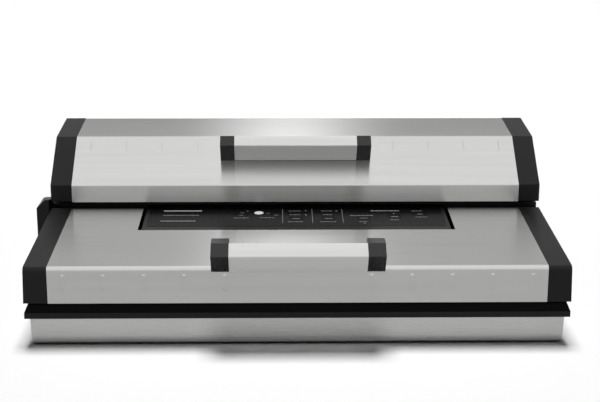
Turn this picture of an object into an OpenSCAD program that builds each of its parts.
// Countertop bar vacuum sealer with a hinged front lid, a hinged roll cover and a film cutter.
// X runs across the machine, Y from front to back, Z up from the table. Millimetres.

/* [Overall] */
// Width over the lid's end caps, at the height of its bend
body_w = 478; // [440:1:580]
// Depth of the front lid, front face to rear edge
lid_d = 154; // [150:1:190]
// Depth of the rear cover
cover_d = 115; // [106:1:140]
// Height of the rear cover's top rear edge above the table
top_h = 150; // [142:1:182]
// How far the base band stands above the table
foot_h = 2.5; // [1.5:0.5:6]

/* [Front lid] */
// Height of the lid's lower edge
lid_low = 40; // [39.8:0.1:42]
// Height of the lid's top at its front bend
lid_front_h = 73; // [68:1:78]
// Height of the lid's top at its rear edge
lid_rear_h = 84; // [80:0.5:86]
// Outer radius of the sheet's bends
bend_r = 4.5; // [3:0.5:6]
// Thickness of the steel sheet
sheet_t = 1; // [0.6:0.1:1.4]
// Width of the plastic strip behind the lid's steel sheet
rear_strip = 4; // [3:0.5:6]
// Width of a plastic end cap
cap_w = 20.5; // [16:0.5:24]
// Wall of the plastic mouldings
wall = 2.5; // [2:0.1:3]
// Outward lean of the lid caps' side faces, in degrees
cap_draft = 1.5; // [0:0.5:2.5]

/* [Rear cover] */
// Height of the cover's lower edge
cover_low = 89.5; // [88.5:0.5:92]
// Height of the cover's lower bend
cover_bend_h = 106.5; // [102:0.5:112]
// Depth of the sloping face, front to back
slope_d = 48.5; // [42:0.5:56]
// Rise of the top face from its bend to its rear edge
top_rise = 5.5; // [0:0.5:8]
// Gap between the closed lid and the closed cover
lid_gap = 1.5; // [1:0.5:3]

/* [Handles] */
// Clear length of a handle bar between its posts
bar_l = 120; // [90:1:150]
// Thickness of the angled handle bar
bar_t = 3; // [2:0.5:4]
// Width of a front handle post
front_post_w = 15.6; // [12:0.2:20]
// Width of a rear handle post
rear_post_w = 14; // [11:0.5:18]
// Stand-off of the front handle from the lid's bend
front_stand = 21; // [18:0.5:24]
// Depth of the front handle's bar
front_bar_d = 15; // [12:0.5:18]
// Distance of the front handle's lower edge in front of the lid's face
front_foot_out = 3.1; // [2.8:0.1:4]
// Distance of the front handle's lower edge below the lid's bend
front_foot_drop = 3.4; // [2:0.2:5]
// Forward tilt of the front handle, in degrees from upright
front_tilt = 35; // [30:1:40]
// Stand-off of the rear handle from the slope
rear_stand = 23; // [20:0.5:26]
// Depth of the rear handle's bar
rear_bar_d = 12.5; // [11:0.5:15]
// Distance of the rear handle's lower edge from the cover's front face
rear_handle_at = 24; // [20:0.5:26]

/* [Base] */
// Step in from the deck's lip to the steel band, all round
band_step = 4.6; // [3:0.2:6]
// Lean of the band's faces, in degrees
band_draft = 2; // [0:0.5:3]
// Height of the band's top, under the lip
band_top = 26; // [24:0.5:27]
// Height of the lip's face
lip_h = 5.3; // [4:0.1:6]
// Height of the deck's flat top
deck_h = 38.5; // [37:0.5:38.5]
// How far the lip stands out past the lid's front face
lip_out = 0.5; // [0:0.1:1]
// Slant of the shoulder above the lip, in plan
shoulder_in = 3; // [2:0.5:4]

/* [Sealing] */
// Length of the seal
seal_l = 404; // [360:1:410]
// Width of the seal bar's carrier
seal_bar_w = 18; // [14:1:18]
// Distance of the carrier from the lid's front face
seal_bar_at = 12; // [10:1:14]
// Front edge of the chamber's trough, from the lid's front face
trough_at = 44; // [42:1:46]
// Front-to-back width of the trough
trough_d = 34; // [28:1:34]
// Floor height of the trough
trough_floor = 20; // [14:1:24]
// Width of the sealing ring's section
gasket_w = 6; // [5:0.5:7]
// Gap left between the two sealing rings of the closed lid
gasket_gap = 0.4; // [0.3:0.1:1]

/* [Console] */
// Width of the lid's cut-out round the control panel
panel_cut_w = 297; // [260:1:320]
// Depth of the lid's cut-out
panel_cut_d = 62; // [58:1:64]
// Gap between the cut-out and the console
panel_gap = 3; // [2:0.5:4]
// How far the console sits below the lid's top
panel_drop = 1.3; // [0.8:0.1:3]
// Travel of a key
key_travel = 0.6; // [0.3:0.1:0.8]
// Clearance round a key
key_gap = 0.3; // [0.2:0.1:0.5]

/* [Hinges] */
// Height of the lid's hinge axis
lid_axis_h = 66; // [64:0.5:67]
// Distance of the lid's hinge axis in front of the lid's rear edge
lid_axis_in = 8; // [8:0.5:10]
// Diameter of the lid's hinge pins
lid_pin_d = 6; // [5:0.5:7]
// Diameter of the cover's hinge pins
cover_pin_d = 3; // [2.5:0.5:3.5]
// Height of the cover's hinge axis
cover_axis_h = 87; // [86:0.5:88]
// Radial clearance of a running hinge fit
run_gap = 0.05; // [0.02:0.01:0.1]
// Side clearance between hinge lugs
side_gap = 0.5; // [0.3:0.1:1]

/* [Roll compartment] */
// Inner radius of the roll tub
tub_r = 41; // [38:0.5:42]
// Clear length of the roll tub
tub_l = 412; // [380:1:420]

/* [Side port] */
// How far the port housing stands out past the end caps
port_out = 13.5; // [12:0.5:16]
// Depth of the port housing, front to back
port_d = 54; // [44:1:60]
// Height of the port housing's top
port_h = 93; // [88:1:96]
// Diameter of the hose socket's bore
socket_d = 7; // [5:0.5:8]

/* [Hidden] */
eps = 0.01;
hw = body_w / 2;
inner_hw = hw - cap_w;
slope_a = atan((lid_rear_h - lid_front_h) / lid_d);
cover_front = lid_d + lid_gap;
cover_back = cover_front + cover_d;
cover_a = atan((top_h - top_rise - cover_bend_h) / slope_d);
top_a = atan(top_rise / (cover_d - slope_d));
cover_axis_r = 3.5;
cover_axis_d = cover_back + 1 + cover_axis_r;
lid_axis_d = lid_d - lid_axis_in;
handle_front = -front_foot_out - front_stand * sin(front_tilt);
rear_most = cover_axis_d + cover_axis_r;
front_y = -(rear_most + handle_front) / 2;
flare = (lid_front_h - lid_low) * tan(cap_draft);
side_x = (port_out - max(lip_out, flare)) / 2;
cut_front = lid_d - panel_cut_d;
ribs_first = 64;
ribs_step = 35.3;
rib_count = floor((inner_hw - 10 - ribs_first) / ribs_step) + 1;
housing_front = lid_axis_d + 22;
chamber_hw = seal_l / 2 + 2;
gasket_low_h = 4;
seal_face = deck_h + gasket_low_h;
tub_d = housing_front + wall + 10 + tub_r;
tub_h = 92;
pin_gap = 0.02;

// ---- helpers -------------------------------------------------------------

function lid_top(d) = lid_front_h + d * tan(slope_a);
function cover_slope(d) = cover_bend_h + (d - cover_front) * tan(cover_a);

// moves the machine frame (lid front face at Y 0, plane of symmetry at X 0) into the shared frame
module place() {
    translate([side_x, front_y, 0]) children();
}

// a side view drawn in (depth, height), given its width along X
module across(w) {
    translate([-w / 2, 0, 0]) rotate([90, 0, 90]) linear_extrude(w) children();
}

module both_sides() {
    children();
    mirror([1, 0, 0]) children();
}

// a round bar along X
module rod(r, l) {
    translate([-l / 2, 0, 0]) rotate([0, 90, 0]) cylinder(r = r, h = l, $fn = 64);
}

// a box centred on X, given its front, rear, low and high limits
module bar_box(w, front, rear, low, high) {
    translate([-w / 2, front, low]) cube([w, rear - front, high - low]);
}

// a closed ring in plan with round corners
module plan_ring(hx, front, rear, t, r) {
    difference() {
        plan_pad(hx, front, rear, r);
        plan_pad(hx - t, front + t, rear - t, max(r - t, 0.5));
    }
}

module plan_pad(hx, front, rear, r) {
    union() {
        translate([-hx + r, front]) square([2 * hx - 2 * r, rear - front]);
        translate([-hx, front + r]) square([2 * hx, rear - front - 2 * r]);
        for (sx = [-1, 1], y = [front + r, rear - r]) translate([sx * (hx - r), y]) circle(r = r, $fn = 48);
    }
}

// the outer edge of the lid's side view, set in by t
module lid_side(t) {
    front = t;
    corner = max(bend_r - t, 0.8);
    rise = t / cos(slope_a);
    // centre of the round corner, touching the front face and the sloping top
    cz = lid_top(0) - rise + corner * (tan(slope_a) - 1 / cos(slope_a)) + front * tan(slope_a);
    union() {
        polygon([[front, lid_low], [lid_d, lid_low], [lid_d, lid_top(lid_d) - rise],
            [front + corner * (1 - sin(slope_a)), lid_top(front + corner * (1 - sin(slope_a))) - rise],
            [front + corner, cz], [front, cz]]);
        translate([front + corner, cz]) circle(r = corner, $fn = 64);
    }
}

// the outer edge of the rear cover's side view, set in by t
module cover_side(t) {
    front = cover_front + t;
    back = cover_back - t;
    low_z = cover_bend_h + t * (tan(cover_a) - 1 / cos(cover_a));
    bend_d = cover_front + slope_d;
    bend_z = top_h - top_rise;
    half = (cover_a + top_a) / 2;
    fold = t / cos((cover_a - top_a) / 2);
    polygon([[front, cover_low], [back, cover_low],
        [back, top_h - t / cos(top_a) - t * tan(top_a)],
        [bend_d + fold * sin(half), bend_z - fold * cos(half)],
        [front, low_z]]);
}

// ---- base ----------------------------------------------------------------

band_front = band_step - lip_out;
band_rear = cover_back - band_step + lip_out;
band_hw = hw + lip_out - band_step;

module band_block(inset, low, high) {
    lean = (high - low) * tan(band_draft);
    intersection() {
        across(body_w + 20) polygon([[band_front + inset + lean, low], [band_rear - inset - lean, low],
            [band_rear - inset, high], [band_front + inset, high]]);
        translate([0, band_rear + 20, 0]) rotate([90, 0, 0]) linear_extrude(band_rear + 40)
            polygon([[-band_hw + inset + lean, low], [band_hw - inset - lean, low],
                [band_hw - inset, high], [-band_hw + inset, high]]);
    }
}

module base_band() place() color("silver") {
    difference() {
        band_block(0, foot_h, band_top);
        translate([0, 0, -eps]) band_block(sheet_t, foot_h, band_top + 3 * eps);
    }
}

foot_x = hw - 45;
foot_front = 30;
foot_rear = cover_back - 32;
plate_t = 1.5;

module at_feet() {
    for (sx = [-1, 1], d = [foot_front, foot_rear]) translate([sx * foot_x, d, 0]) children();
}

module bottom_plate() place() color("dimgray") {
    gap = 0.2;
    lean = (band_top - foot_h) * tan(band_draft) + sheet_t + gap;
    difference() {
        bar_box(2 * (band_hw - lean), band_front + lean, band_rear - lean, foot_h + 0.5, foot_h + 0.5 + plate_t);
        at_feet() cylinder(d = 4.4, h = 20, center = true, $fn = 32);
        for (i = [0:7]) translate([-inner_hw + 70, cut_front + 8 + i * 6, 0]) cube([60, 2.5, 20], center = true);
    }
}

module rubber_feet() place() color("#202020") {
    at_feet() difference() {
        cylinder(d = 18, h = foot_h + 0.5, $fn = 48);
        cylinder(d = 4.4, h = 20, center = true, $fn = 32);
        translate([0, 0, -eps]) cylinder(d = 9, h = min(1.5, foot_h / 2) + 2 * eps, $fn = 32);
    }
}

module foot_screws() place() color("gainsboro") {
    head_low = min(1.5, foot_h / 2) - 1;
    at_feet() union() {
        translate([0, 0, max(head_low, 0.3)]) cylinder(d = 7.5, h = min(1.5, foot_h / 2) - max(head_low, 0.3), $fn = 32);
        translate([0, 0, max(head_low, 0.3)]) cylinder(d = 4, h = foot_h + 8, $fn = 32);
    }
}

// the lid's hinge lugs stand on the deck, one at each side of the console
lug_x = (panel_cut_w / 2 + inner_hw) / 2;
lug_w = 16;
lug_r = 8;

module deck_frame() place() color("#262626") {
    lip_hw = hw + lip_out;
    lip_rear = cover_back + lip_out;
    difference() {
        union() {
            // lip and slanted shoulder
            intersection() {
                across(body_w + 20) polygon([[-lip_out, band_top], [lip_rear, band_top],
                    [lip_rear, band_top + lip_h], [lip_rear - shoulder_in, deck_h],
                    [shoulder_in - lip_out, deck_h], [-lip_out, band_top + lip_h]]);
                translate([0, lip_rear + 20, 0]) rotate([90, 0, 0]) linear_extrude(lip_rear + 40)
                    polygon([[-lip_hw, band_top], [lip_hw, band_top], [lip_hw, band_top + lip_h],
                        [lip_hw - shoulder_in, deck_h], [-lip_hw + shoulder_in, deck_h],
                        [-lip_hw, band_top + lip_h]]);
            }
            // hinge lugs for the lid
            both_sides() translate([lug_x, 0, 0]) {
                bar_box(lug_w, lid_axis_d - lug_r, lid_axis_d + lug_r, deck_h - 1, lid_axis_h);
                translate([0, lid_axis_d, lid_axis_h]) rod(lug_r, lug_w);
            }
        }
        // hollow below the deck's skin
        bar_box(2 * (lip_hw - band_step - wall), band_step + wall, lip_rear - band_step - wall, 0, deck_h - wall);
        // trough and seal bar openings
        bar_box(2 * chamber_hw + 0.4, trough_at - 0.2, trough_at + trough_d + 0.2, 0, deck_h + 1);
        bar_box(seal_l + 0.8, seal_bar_at - 0.2, seal_bar_at + seal_bar_w + 0.2, 0, deck_h + 1);
        // room for the console's works and for the roll tub
        bar_box(panel_cut_w - 2 * panel_gap - 2 * wall, cut_front + panel_gap + wall, housing_front + 2, 0, deck_h + 1);
        bar_box(tub_l + 2 * wall + 1, housing_front + 2, cover_back - 6, 0, deck_h + 1);
        translate([0, lid_axis_d, lid_axis_h]) rod(lid_pin_d / 2 + run_gap, body_w);
        // lid switch plunger
        translate([inner_hw - 6, trough_at + trough_d + 14, 0]) cylinder(d = 6.6, h = 60, $fn = 48);
    }
}

module chamber_trough() place() color("#3a3a3a") {
    difference() {
        union() {
            bar_box(2 * chamber_hw, trough_at, trough_at + trough_d, trough_floor, deck_h);
        }
        bar_box(2 * (chamber_hw - wall), trough_at + wall, trough_at + trough_d - wall,
            trough_floor + wall, deck_h + 1);
        // suction bore
        translate([port_x, trough_at + trough_d / 2, 0]) cylinder(d = 5, h = 60, $fn = 48);
    }
}

gasket_hx = chamber_hw + 2 + gasket_w;
gasket_front = trough_at - 2 - gasket_w;
gasket_rear = trough_at + trough_d + 2 + gasket_w;

module lower_gasket() place() color("#4a4a4a") {
    translate([0, 0, deck_h]) linear_extrude(gasket_low_h)
        plan_ring(gasket_hx, gasket_front, gasket_rear, gasket_w, 12);
}

carrier_low = deck_h - 14;

module seal_bar_carrier() place() color("#303030") {
    bar_box(seal_l + 0.4, seal_bar_at, seal_bar_at + seal_bar_w, carrier_low, seal_face - 0.6);
}

module heating_wires() place() color("#b9a88a") {
    for (s = [-1, 1]) translate([0, seal_bar_at + seal_bar_w / 2 + s * 3, 0])
        bar_box(seal_l - 4, -1.25, 1.25, seal_face - 0.6, seal_face - 0.4);
}

module ptfe_tape() place() color("#6b5a44") {
    bar_box(seal_l - 2, seal_bar_at + 2, seal_bar_at + seal_bar_w - 2, seal_face - 0.4, seal_face - 0.2);
}

// ---- console -------------------------------------------------------------

console_hw = panel_cut_w / 2 - panel_gap;
console_front = cut_front + panel_gap;
console_rear = housing_front;
strip_d = 10;
overlay_t = 0.8;
face_front = console_front + strip_d;
face_rear = console_rear - 12;

// keys keep their places unless the console gets too narrow for them
key_span = 120;
key_spread = min(1, (console_hw - 14) / key_span);

function console_top(d) = lid_top(d) - panel_drop;

// keys as [x, depth from the console's front edge, width, depth]; 0 deep marks the round key
key_w = 12;
key_d = 9;
round_key_d = 9;
key_rows = [[-53, 40, key_w, key_d], [-36, 48, round_key_d, 0], [-19, 40, key_w, key_d],
    [0, 31, key_w, key_d], [31, 31, key_w, key_d], [65, 31, key_w, key_d],
    [95, 36, key_w, key_d], [120, 42, key_w, key_d]];

module key_shape(i, grow) {
    k = key_rows[i];
    translate([k[0] * key_spread, console_front + k[1]])
        if (k[3] == 0) circle(d = k[2] + 2 * grow, $fn = 48);
        else square([k[2] + 2 * grow, k[3] + 2 * grow], center = true);
}

module console() place() color("#1d1d1d") {
    difference() {
        across(2 * console_hw) polygon([[console_front, deck_h], [console_rear, deck_h],
            [console_rear, console_top(console_rear)], [console_front, console_top(console_front)]]);
        across(2 * (console_hw - wall)) polygon([[console_front + wall, 0], [console_rear - wall, 0],
            [console_rear - wall, console_top(console_rear) - wall],
            [console_front + wall, console_top(console_front) - wall]]);
        // seat of the overlay
        across(2 * (console_hw - 4)) polygon([[face_front, console_top(face_front) - overlay_t],
            [face_rear, console_top(face_rear) - overlay_t], [face_rear, console_top(face_rear) + 5],
            [face_front, console_top(face_front) + 5]]);
        for (i = [0:7]) linear_extrude(200) key_shape(i, key_gap);
    }
}

module panel_overlay() place() color("#2b2b2b") {
    fit = 0.1;
    difference() {
        across(2 * (console_hw - 4 - fit)) polygon([[face_front + fit, console_top(face_front + fit) - overlay_t],
            [face_rear - fit, console_top(face_rear - fit) - overlay_t],
            [face_rear - fit, console_top(face_rear - fit)], [face_front + fit, console_top(face_front + fit)]]);
        for (i = [0:7]) linear_extrude(200) key_shape(i, key_gap);
    }
}

board_drop = 7;

// a key's cap sits flush in the overlay and its stem stops short of the board's switch
module key_cap(i) place() color(i == 1 ? "#e8e8e8" : "#303030") {
    intersection() {
        linear_extrude(200) key_shape(i, 0);
        across(body_w) polygon([[console_front, console_top(console_front) - wall - 1.2],
            [console_rear, console_top(console_rear) - wall - 1.2], [console_rear, console_top(console_rear)],
            [console_front, console_top(console_front)]]);
    }
}
module key_1() { key_cap(0); }
module key_2() { key_cap(1); }
module key_3() { key_cap(2); }
module key_4() { key_cap(3); }
module key_5() { key_cap(4); }
module key_6() { key_cap(5); }
module key_7() { key_cap(6); }
module key_8() { key_cap(7); }

module control_board() place() color("#2f5d3a") {
    low = board_drop + 1.6;
    union() {
        across(2 * console_hw - 30) polygon([[console_front + 14, console_top(console_front + 14) - low],
            [console_rear - 8, console_top(console_rear - 8) - low],
            [console_rear - 8, console_top(console_rear - 8) - board_drop],
            [console_front + 14, console_top(console_front + 14) - board_drop]]);
        // one tactile switch under each key
        for (k = key_rows) translate([k[0] * key_spread, console_front + k[1], console_top(console_front + k[1]) - board_drop - 0.5])
            bar_box(6, -3, 3, 0, board_drop + 0.5 - wall - 1.2 - key_travel - 0.5);
    }
}

// ---- works under the console ----------------------------------------------

pump_h = 38;
motor_r = 15;
motor_l = 56;
valve_w = 22;
pump_x = console_hw - wall - valve_w - 3 - motor_l / 2 - 18;
pump_d = console_front + wall + 3 + 18;
works_floor = foot_h + 0.5 + plate_t;

module pump_motors() place() color("#9a9a9a") {
    for (s = [-1, 1]) translate([s * pump_x, pump_d, pump_h]) {
        rod(motor_r, motor_l);
        bar_box(8, -8, 8, works_floor - pump_h, -motor_r + 2);
    }
}

module pump_heads() place() color("#202020") {
    for (s = [-1, 1]) translate([s * pump_x, pump_d, 0]) {
        difference() {
            translate([s * (motor_l / 2 + 9), 0, 0]) bar_box(18 - 2 * pin_gap, -17, 17, works_floor + 6, pump_h + 18);
            translate([s * (motor_l / 2 + 9), -12, pump_h + 10]) cylinder(d = 3, h = 20, $fn = 32);
        }
        translate([s * (motor_l / 2 + 9), 8, pump_h + 18]) cylinder(d = 6, h = 6, $fn = 32);
    }
}

module power_board() place() color("#37563f") {
    board_low = works_floor + 6;
    translate([-100, 0, 0]) {
        bar_box(130, tub_d - 36, tub_d + 34, board_low, board_low + 1.6);
        for (sx = [-1, 1], d = [tub_d - 31, tub_d + 29]) translate([sx * 58, d, works_floor])
            cylinder(d = 6, h = 6, $fn = 24);
        // transformer, capacitors and relay
        translate([-32, 0, 0]) bar_box(40, tub_d - 20, tub_d + 14, board_low + 1.6, board_low + 26);
        for (d = [-22, 0]) translate([24, tub_d + d, board_low + 1.6]) cylinder(d = 14, h = 20, $fn = 32);
        translate([46, 0, 0]) bar_box(14, tub_d - 10, tub_d + 18, board_low + 1.6, board_low + 16);
    }
}

fan_x = 8;
fan_d = console_front + 34;
fan_size = 50;
fan_t = 15;

module fan_housing() place() color("#1a1a1a") translate([fan_x, fan_d, works_floor]) {
    difference() {
        translate([-fan_size / 2, -fan_size / 2, 0]) cube([fan_size, fan_size, fan_t]);
        difference() {
            translate([0, 0, -eps]) cylinder(d = fan_size - 4, h = fan_t + 1, $fn = 64);
            translate([0, 0, -eps]) cylinder(d = 18, h = 2, $fn = 48);
            for (a = [0:120:240]) rotate([0, 0, a]) translate([0, -1.5, -eps]) cube([fan_size / 2, 3, 1.8]);
        }
        translate([0, 0, 0.5]) cylinder(d = 3 + 2 * run_gap, h = fan_t, $fn = 32);
    }
}

module fan_impeller() place() color("#2a2a2a") translate([fan_x, fan_d, works_floor]) {
    union() {
        translate([0, 0, 0.6]) cylinder(d = 3, h = 3, $fn = 32);
        translate([0, 0, 2.6]) cylinder(d = 20, h = fan_t - 4, $fn = 48);
        for (a = [0:51.4286:359]) rotate([0, 0, a]) translate([8, 0, fan_t / 2 + 0.6])
            rotate([28, 0, 0]) translate([0, -0.75, -5]) cube([fan_size / 2 - 12, 1.5, 9]);
    }
}

valve_x = -console_hw + wall + 1 + valve_w / 2;

module release_valve() place() color("#c9c4b4") translate([valve_x, console_front + 40, 0]) {
    union() {
        bar_box(valve_w, -12, 12, works_floor, 30);
        translate([0, 0, 30]) cylinder(d = 14, h = 12, $fn = 48);
        translate([0, 0, 42]) cylinder(d = 5, h = 8, $fn = 32);
    }
}

port_x = min(-chamber_hw + 30, -console_hw + wall - 11);

// suction hose from the trough's bore to the valve block
module vacuum_hose() place() color("#dddddd") {
    port_y = trough_at + trough_d / 2;
    low = trough_floor - 8;
    run = valve_x - valve_w / 2 - port_x;
    union() {
        difference() {
            translate([port_x, port_y, low]) cylinder(d = 9, h = trough_floor - low, $fn = 32);
            translate([port_x, port_y, low + 3]) cylinder(d = 5, h = 20, $fn = 32);
        }
        translate([port_x, port_y, low + 2]) rotate([-90, 0, 0]) cylinder(d = 7, h = console_front + 40 - port_y, $fn = 32);
        translate([port_x, console_front + 40, low + 2]) rotate([0, 90, 0]) cylinder(d = 7, h = run, $fn = 32);
        translate([port_x, console_front + 40, low + 2]) sphere(d = 7, $fn = 32);
    }
}

switch_x = inner_hw - 6;
switch_d = trough_at + trough_d + 14;

plunger_travel = 3;
plunger_low = deck_h - wall + 0.3;
plunger_head = 4;

module lid_switch() place() color("#151515") translate([switch_x, switch_d, 0]) {
    difference() {
        union() {
            bar_box(12, -8, 8, deck_h - 18, deck_h - wall);
            bar_box(3, -8, 8, works_floor, deck_h - 17);
        }
        translate([0, 0, deck_h - 17]) cylinder(d = 4 + 2 * run_gap, h = 30, $fn = 48);
    }
}

// held down by the closed lid, and risen by its travel once the lid is open
module switch_plunger() place() color("#d8d8d8") translate([switch_x, switch_d, 0]) {
    union() {
        translate([0, 0, plunger_low - 12]) cylinder(d = 4, h = 13, $fn = 48);
        translate([0, 0, plunger_low]) cylinder(d = 6, h = plunger_head, $fn = 48);
    }
}

// ---- rear housing and roll compartment -------------------------------------

housing_top = 85;
housing_hw = hw;
socket_at = housing_front + 15;
socket_z = 60;
socket_plate = 26;
socket_flange = socket_plate + 3;
inlet_x = hw - 60;
inlet_h = deck_h + 11.5;
rocker_x = hw - 110;
knuckle_w = 16;
knuckle_x = inner_hw - 60;

module cover_knuckle(x, w) {
    translate([x, cover_axis_d, cover_axis_h]) rod(cover_axis_r, w);
}

module rear_housing() place() color("#222222") {
    difference() {
        union() {
            bar_box(2 * housing_hw, housing_front, cover_back, deck_h, housing_top);
            both_sides() {
                cover_knuckle(knuckle_x, knuckle_w);
                translate([knuckle_x, 0, 0]) bar_box(knuckle_w, cover_back - 1, cover_axis_d + 1,
                    cover_axis_h - 14, cover_axis_h - 1);
            }
        }
        bar_box(2 * (housing_hw - wall), housing_front + wall, cover_back - wall, deck_h - 1, housing_top + 1);
        translate([0, cover_axis_d, cover_axis_h]) rod(cover_pin_d / 2 + pin_gap, body_w);
        // room for the cover's knuckles and rear wall
        both_sides() for (s = [-1, 1]) translate([knuckle_x + s * (knuckle_w + side_gap), 0, 0])
            bar_box(knuckle_w + side_gap, cover_back - wall - 1, cover_axis_d + 10, cover_axis_h - 6, cover_axis_h + 6);
        // mains inlet and rocker cut-outs
        translate([inlet_x, 0, 0]) bar_box(28, cover_back - 5, cover_back + 5, inlet_h - 11, inlet_h + 11);
        translate([rocker_x, 0, 0]) bar_box(14.6, cover_back - 5, cover_back + 5, inlet_h - 7.5, inlet_h + 7.5);
        // hose passage to the side port
        translate([-housing_hw - 1, socket_at, socket_z]) rotate([0, 90, 0]) cylinder(d = 9, h = 6, $fn = 32);
    }
}

module roll_tub() place() color("#2c2c2c") {
    t = 2;
    difference() {
        union() {
            intersection() {
                translate([0, tub_d, tub_h]) rod(tub_r + t, tub_l + 2 * t);
                bar_box(body_w, 0, 400, 0, housing_top);
            }
            // rim resting between the housing's walls
            bar_box(tub_l + 2 * t, housing_front + wall, cover_back - wall, housing_top - t, housing_top);
        }
        translate([0, tub_d, tub_h]) rod(tub_r, tub_l);
    }
}

module port_housing() place() color("#262626") {
    gap = 1.2;
    front = lid_d - 4;
    low = band_top + lip_h;
    flat = 3;
    back = front + port_d;
    // the roof falls towards the back by as much as the socket's flange below it allows
    drop = wall + 6;
    over_flange = socket_z + socket_flange / 2 + drop + 0.5;
    fall = (port_h - over_flange) / (socket_at + socket_flange / 2 - front - flat);
    roof_low = port_h - (port_d - flat) * fall;
    side = [[front - 1, 0], [front - 1, port_h], [front + flat, port_h], [back, roof_low], [back, 0]];
    translate([-hw, 0, 0]) difference() {
        intersection() {
            union() {
                intersection() {
                    translate([-port_out, front, deck_h]) cube([port_out - gap, port_d, port_h - deck_h]);
                    translate([0, back, 0]) rotate([90, 0, 0]) linear_extrude(port_d)
                        polygon([[-port_out, deck_h], [0, deck_h], [0, port_h], [8 - port_out, port_h],
                            [-port_out, port_h - 8]]);
                }
                translate([-gap - eps, housing_front + 1, deck_h])
                    cube([gap + eps, back - housing_front - 1, housing_top - deck_h]);
            }
            // the top falls to the back
            across(4 * port_out) polygon(side);
        }
        // hollow and hose passage
        intersection() {
            translate([wall - port_out, front + wall, deck_h + wall])
                cube([port_out - gap - 2 * wall, port_d - 2 * wall, port_h - deck_h - wall]);
            translate([0, 0, -drop]) across(4 * port_out) polygon(side);
        }
        translate([-port_out - 1, socket_at - socket_plate / 2, socket_z - socket_plate / 2])
            cube([wall + 2, socket_plate, socket_plate]);
        translate([-port_out + 4, socket_at, socket_z]) rotate([0, 90, 0]) cylinder(d = 9, h = 30, $fn = 32);
    }
}

// a square plate with the hose bore, let into the port housing's side and held by a flange behind it
module hose_socket() place() color("#3c3c3c") {
    side = socket_plate - 2 * pin_gap;
    translate([-hw - port_out, socket_at, socket_z]) difference() {
        union() {
            translate([0, -side / 2, -side / 2]) cube([wall, side, side]);
            translate([wall, -socket_flange / 2, -socket_flange / 2]) cube([2, socket_flange, socket_flange]);
        }
        translate([-1, 0, 0]) rotate([0, 90, 0]) cylinder(d = socket_d, h = 20, $fn = 48);
    }
}

module mains_inlet() place() color("#1a1a1a") translate([inlet_x, cover_back, inlet_h]) {
    union() {
        difference() {
            union() {
                bar_box(27.6, -18, 1, -10.8, 10.8);
                bar_box(31, 0, 1.5, -13, 13);
            }
            bar_box(24, -16, 10, -8.6, 8.6);
        }
        for (x = [-7, 0, 7]) translate([x, 0, 0]) bar_box(2, -17, -3, x == 0 ? 2 : -3, x == 0 ? 6 : 1);
    }
}

rocker_r = 9;
rocker_tilt = 8;

module power_rocker() place() color("#101010") translate([rocker_x, cover_back - 5, inlet_h]) {
    // it rests tilted to its off side
    rotate([-rocker_tilt, 0, 0]) difference() {
        intersection() {
            rod(rocker_r, 14);
            bar_box(14, -3, 20, -5.5, 5.5);
        }
        rod(1.5 + run_gap, 30);
    }
}

module rocker_frame() place() color("#141414") translate([rocker_x, cover_back - 5, inlet_h]) {
    union() {
        for (s = [-1, 1]) translate([s * 8.4, 0, 0]) bar_box(2, -9, 5 - wall - 0.1, -7, 7);
        bar_box(18.8, -11, -9, -7, 7);
        rod(1.5, 17);
    }
}

rail_front = housing_front + 4;
rail_rear = rail_front + 12;
rail_top = housing_top + 5;
rail_l = tub_l - 4;

module cutter_rail() place() color("#343434") {
    difference() {
        bar_box(rail_l, rail_front, rail_rear, housing_top, rail_top);
        // slot for the blade and undercuts for the carriage
        bar_box(rail_l - 12, rail_front + 5, rail_rear - 5, housing_top + 1, rail_top + 1);
        for (d = [rail_front, rail_rear]) bar_box(rail_l - 12, d - 1, d + 1, housing_top + 1.5, housing_top + 3);
    }
}

carriage_w = 22;
carriage_x = -rail_l / 2 + 8 + carriage_w / 2;

module cutter_carriage() place() color("#5a5a5a") translate([carriage_x, 0, 0]) {
    gap = 0.15;
    difference() {
        bar_box(carriage_w, rail_front - 2.5, rail_rear + 2.5, housing_top + 1.5 + gap, rail_top + 7);
        bar_box(carriage_w + 2, rail_front - gap, rail_rear + gap, 0, rail_top + gap);
        // finger hollow
        translate([0, (rail_front + rail_rear) / 2, rail_top + 17]) rod(12, carriage_w + 2);
        bar_box(0.8, rail_front + 2, rail_rear - 2, rail_top - 1, rail_top + 3);
    }
    for (s = [0, 1]) mirror([0, s, 0]) translate([0, s ? -(rail_front + rail_rear) : 0, 0])
        bar_box(carriage_w, rail_front - gap, rail_front + 0.7, housing_top + 1.5 + gap, housing_top + 3 - gap);
}

module cutter_blade() place() color("gainsboro") translate([carriage_x, 0, 0])
    across(0.6) polygon([[rail_front + 5.3, housing_top + 1.5], [rail_rear - 5.3, housing_top + 1.5],
        [rail_rear - 5.3, rail_top + 2.8], [rail_front + 5.3, rail_top + 2.8]]);

module cover_hinge_pins() place() color("gainsboro") {
    both_sides() translate([knuckle_x, cover_axis_d, cover_axis_h]) rod(cover_pin_d / 2, 3 * knuckle_w);
}

// ---- front lid -----------------------------------------------------------

module rib_cuts(z0, z1, depth, face) {
    w = 3.5;
    for (i = [0:rib_count - 1], s = [-1, 1]) translate([s * (ribs_first + i * ribs_step), face, 0])
        rotate([90, 0, 0]) translate([0, 0, -depth]) {
            translate([-w / 2, z0 + w / 2, 0]) cube([w, z1 - z0 - w, 3]);
            for (z = [z0 + w / 2, z1 - w / 2]) translate([0, z, 0]) cylinder(d = w, h = 3, $fn = 32);
        }
}

module front_screw_axes() {
    for (s = [-1, 1], d = [6.5]) translate([s * (bar_l / 2 + front_post_w / 2), d, 0]) children();
}

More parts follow.
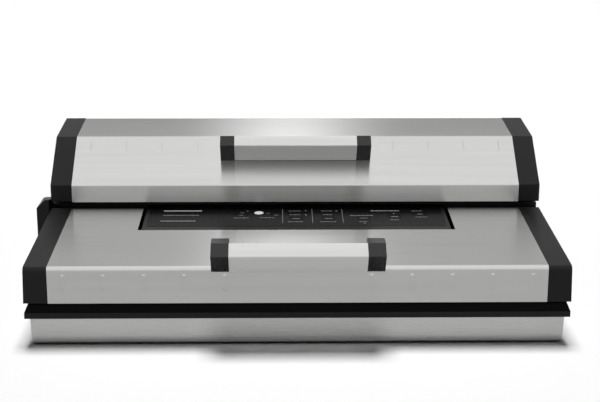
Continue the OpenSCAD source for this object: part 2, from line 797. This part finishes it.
module lid_cover() place() color("silver") {
    difference() {
        across(2 * inner_hw - 0.2) difference() {
            lid_side(0);
            translate([0, -eps]) lid_side(sheet_t);
            translate([sheet_t, 0]) square([lid_d, lid_low + 20]);
        }
        bar_box(panel_cut_w, cut_front, lid_d + 1, 0, 200);
        bar_box(body_w, lid_d - rear_strip, lid_d + 1, 0, 200);
        rib_cuts(lid_front_h - 21, lid_front_h - 7, 0.5, 0);
        front_screw_axes() cylinder(d = 4.4, h = 200, $fn = 32);
    }
}

// the lid's rear edge is rolled round the hinge axis, so it turns clear of the housing
roll_r = norm([lid_axis_in, lid_rear_h - lid_axis_h]) - 0.4;

module rolled_side(r, low) {
    intersection() {
        translate([lid_axis_d, lid_axis_h]) circle(r = r, $fn = 96);
        translate([lid_d - 0.2, low]) square([60, 100]);
    }
}

// an end cap: a shell open below and towards the lid's middle, its side face leaning outwards
module lid_cap() {
    t = wall + 0.5;
    difference() {
        intersection() {
            translate([inner_hw + (cap_w + 1) / 2, 0, 0]) across(cap_w + 1) union() {
                lid_side(0);
                rolled_side(roll_r, 0);
            }
            translate([hw, 0, lid_front_h]) rotate([0, -cap_draft, 0]) translate([-60, -10, -80]) cube([60, lid_d + 60, 160]);
        }
        // hollow, open below and towards the middle
        translate([inner_hw + (cap_w - t) / 2 - 1, 0, 0]) across(cap_w - t + 2) polygon([[t, lid_low - 1],
            [lid_d - t, lid_low - 1], [lid_d - t, lid_top(lid_d - t) - t], [t + 2, lid_top(t + 2) - t],
            [t, lid_top(t) - t - 2]]);
    }
}

module lid_cap_right() place() color("#262626") lid_cap();
module lid_cap_left() place() color("#262626") mirror([1, 0, 0]) lid_cap();

hood_low = seal_face + gasket_gap + 3;
strip_low = seal_face - 0.2 + gasket_gap;
lid_lug_w = 12;

module lid_liner() place() color("#2e2e2e") {
    w = 2 * inner_hw - 0.4;
    difference() {
        union() {
            // skin under the steel sheet
            across(w) difference() {
                lid_side(sheet_t + 0.05);
                translate([0, -eps]) lid_side(sheet_t + wall);
                translate([sheet_t + wall, 0]) square([lid_d, lid_low + 20]);
            }
            // strip behind the sheet, and the apron rolled round the hinge axis
            across(w) difference() {
                union() {
                    polygon([[lid_d - rear_strip + 0.2, lid_rear_h - 6], [lid_d, lid_rear_h - 6],
                        [lid_d, lid_top(lid_d) - 0.3], [lid_d - rear_strip + 0.2, lid_top(lid_d - rear_strip + 0.2) - 0.3]]);
                    rolled_side(roll_r, lid_axis_h);
                }
                translate([lid_axis_d, lid_axis_h]) circle(r = roll_r - wall, $fn = 96);
            }
            // tab that holds the switch's plunger down
            translate([switch_x, switch_d, plunger_low + plunger_head + 0.2])
                cylinder(d = 5, h = lid_top(switch_d) - sheet_t - wall / 2 - plunger_low - plunger_head, $fn = 32);
            // hood over the chamber and rib behind the seal bar's pressing strip
            intersection() {
                translate([0, 0, hood_low]) linear_extrude(100) union() {
                    plan_ring(gasket_hx, gasket_front, gasket_rear, gasket_w, 12);
                    translate([-seal_l / 2, seal_bar_at + 4]) square([seal_l, seal_bar_w - 8]);
                }
                across(w) lid_side(sheet_t + wall / 2);
            }
            // hinge lugs
            both_sides() for (s = [-1, 1]) translate([lug_x + s * (lug_w / 2 + side_gap + lid_lug_w / 2), 0, 0]) {
                translate([0, lid_axis_d, lid_axis_h]) rod(lug_r, lid_lug_w);
                across(lid_lug_w) intersection() {
                    translate([lid_axis_d - lug_r, lid_axis_h]) square([2 * lug_r, 60]);
                    lid_side(sheet_t + wall / 2);
                }
            }
        }
        // the console stands clear in its cut-out, and the deck lugs stand clear of the skin
        bar_box(panel_cut_w + 1, cut_front - 0.5, lid_d + 40, 0, 200);
        translate([0, lid_axis_d, lid_axis_h]) rod(lid_pin_d / 2 + pin_gap, body_w);
        front_screw_axes() cylinder(d = 4.4, h = 200, $fn = 32);
        front_screw_axes() cylinder(d = 9, h = lid_top(6.5) - sheet_t - wall - 0.5, $fn = 32);
    }
}

module upper_gasket() place() color("#4a4a4a") {
    translate([0, 0, seal_face + gasket_gap]) linear_extrude(3)
        plan_ring(gasket_hx, gasket_front, gasket_rear, gasket_w, 12);
}

module press_strip() place() color("#8a3b2e") {
    bar_box(seal_l - 2, seal_bar_at + 4.5, seal_bar_at + seal_bar_w - 4.5, strip_low, hood_low);
}

module lid_hinge_pins() place() color("gainsboro") {
    both_sides() translate([lug_x, lid_axis_d, lid_axis_h])
        rod(lid_pin_d / 2, lug_w + 2 * side_gap + 2 * lid_lug_w);
}

// a handle's side view in its own frame: u runs back along the foot, v stands off from it
module angle_bar(stand, depth) {
    difference() {
        square([depth, stand]);
        translate([bar_t, -1]) square([depth, stand - bar_t + 1]);
    }
}

foot_z = lid_front_h - front_foot_drop;

module front_frame() {
    translate([-front_foot_out, foot_z]) rotate(front_tilt) children();
}

module front_handle_bar() place() color("gainsboro") {
    across(bar_l) front_frame() angle_bar(front_stand, front_bar_d);
}

front_post_top = foot_z + front_stand * cos(front_tilt) + front_bar_d * sin(front_tilt);
front_post_rear = 12;

module front_handle_posts() place() color("#1c1c1c") {
    crest = handle_front + front_bar_d * cos(front_tilt);
    for (s = [-1, 1]) translate([s * (bar_l + front_post_w) / 2, 0, 0]) difference() {
        across(front_post_w - 0.1) difference() {
            polygon([[-front_foot_out, foot_z], [handle_front, foot_z + front_stand * cos(front_tilt)],
                [crest, front_post_top], [front_post_rear, front_post_top], [front_post_rear, foot_z]]);
            translate([0, 0.05]) lid_side(0);
        }
        translate([0, 6.5, 0]) cylinder(d = 4 + 2 * pin_gap, h = lid_top(6.5) + 14, $fn = 32);
    }
}

module front_handle_screws() place() color("gainsboro") {
    head = lid_top(6.5) - sheet_t - wall - 0.5;
    front_screw_axes() union() {
        translate([0, 0, head - 3]) cylinder(d = 8, h = 2.9, $fn = 32);
        translate([0, 0, head - 1]) cylinder(d = 4, h = sheet_t + wall + 1.5 + 12, $fn = 32);
    }
}

// ---- rear cover ----------------------------------------------------------

module slope_frame(u) {
    translate([0, cover_front, cover_bend_h]) rotate([cover_a, 0, 0]) translate([0, u, 0]) children();
}

rear_handle_u = rear_handle_at / cos(cover_a);
slope_l = slope_d / cos(cover_a);

module rear_screw_axes() {
    slope_frame(rear_handle_u) for (s = [-1, 1])
        translate([s * (bar_l / 2 + rear_post_w / 2), rear_bar_d / 2, 0]) children();
}

leaf_top = cover_axis_h + 9;

module cover_sheet() place() color("silver") {
    difference() {
        across(2 * inner_hw - 0.2) difference() {
            cover_side(0);
            translate([0, -eps]) cover_side(sheet_t);
        }
        slope_frame(0) rib_slots();
        // notches for the hinge leaves
        both_sides() for (s = [-1, 1]) translate([knuckle_x + s * (knuckle_w + side_gap), 0, 0])
            bar_box(knuckle_w - side_gap + 0.2, cover_back - 2, cover_back + 1, 0, leaf_top + 0.1);
        rear_screw_axes() cylinder(d = 4.4, h = 12, center = true, $fn = 32);
    }
}

module rib_slots() {
    w = 3.5;
    u0 = slope_l - 18;
    u1 = slope_l - 5;
    for (i = [0:rib_count - 1], s = [-1, 1]) translate([s * (ribs_first + i * ribs_step), 0, -0.5]) {
        translate([-w / 2, u0 + w / 2, 0]) cube([w, u1 - u0 - w, 3]);
        for (u = [u0 + w / 2, u1 - w / 2]) translate([0, u, 0]) cylinder(d = w, h = 3, $fn = 32);
    }
}

module cover_cap() {
    t = wall + 0.5;
    difference() {
        translate([inner_hw + cap_w / 2, 0, 0]) across(cap_w) cover_side(0);
        translate([inner_hw + (cap_w - t) / 2 - eps, 0, 0]) across(cap_w - t) translate([0, -eps]) cover_side(t);
    }
}

module cover_cap_right() place() color("#262626") cover_cap();
module cover_cap_left() place() color("#262626") mirror([1, 0, 0]) cover_cap();

module cover_liner() place() color("#2e2e2e") {
    difference() {
        union() {
            across(2 * inner_hw - 0.4) difference() {
                cover_side(sheet_t + 0.05);
                translate([0, -eps]) cover_side(sheet_t + wall);
            }
            both_sides() for (s = [-1, 1]) {
                cover_knuckle(knuckle_x + s * (knuckle_w + side_gap), knuckle_w - side_gap);
                translate([knuckle_x + s * (knuckle_w + side_gap), 0, 0]) {
                    bar_box(knuckle_w - side_gap, cover_back - sheet_t - wall, cover_back + 1.5, cover_low, leaf_top);
                    bar_box(knuckle_w - side_gap, cover_back, cover_axis_d, cover_low, cover_axis_h + cover_axis_r);
                }
            }
        }
        translate([0, cover_axis_d, cover_axis_h]) rod(cover_pin_d / 2 + run_gap, body_w);
        rear_screw_axes() cylinder(d = 4.4, h = 20, center = true, $fn = 32);
    }
}

module rear_handle_bar() place() color("gainsboro") {
    across(bar_l) translate([cover_front, cover_bend_h]) rotate(cover_a) translate([rear_handle_u, 0.3])
        angle_bar(rear_stand, rear_bar_d);
}

module rear_handle_posts() place() color("#1c1c1c") {
    for (s = [-1, 1]) difference() {
        translate([s * (bar_l + rear_post_w) / 2, 0, 0]) across(rear_post_w - 0.1)
            translate([cover_front, cover_bend_h]) rotate(cover_a) translate([rear_handle_u, 0.02])
                square([rear_bar_d, rear_stand + 0.28]);
        rear_screw_axes() translate([0, 0, -5]) cylinder(d = 4 + 2 * pin_gap, h = 19, $fn = 32);
    }
}

module rear_handle_screws() place() color("gainsboro") {
    rear_screw_axes() union() {
        translate([0, 0, -sheet_t - wall - 3]) cylinder(d = 8, h = 2.9, $fn = 32);
        translate([0, 0, -sheet_t - wall - 1]) cylinder(d = 4, h = sheet_t + wall + 13, $fn = 32);
    }
}

base_band();
bottom_plate();
rubber_feet();
foot_screws();
deck_frame();
chamber_trough();
lower_gasket();
seal_bar_carrier();
heating_wires();
ptfe_tape();
console();
panel_overlay();
control_board();
pump_motors();
pump_heads();
power_board();
fan_housing();
fan_impeller();
release_valve();
vacuum_hose();
rear_housing();
roll_tub();
port_housing();
hose_socket();
mains_inlet();
power_rocker();
rocker_frame();
cutter_rail();
cutter_carriage();
cutter_blade();
lid_switch();
switch_plunger();
cover_hinge_pins();
lid_cover();
lid_cap_left();
lid_cap_right();
lid_liner();
upper_gasket();
press_strip();
lid_hinge_pins();
front_handle_bar();
front_handle_posts();
front_handle_screws();
cover_sheet();
cover_cap_left();
cover_cap_right();
cover_liner();
rear_handle_bar();
rear_handle_posts();
rear_handle_screws();
key_1();
key_2();
key_3();
key_4();
key_5();
key_6();
key_7();
key_8();
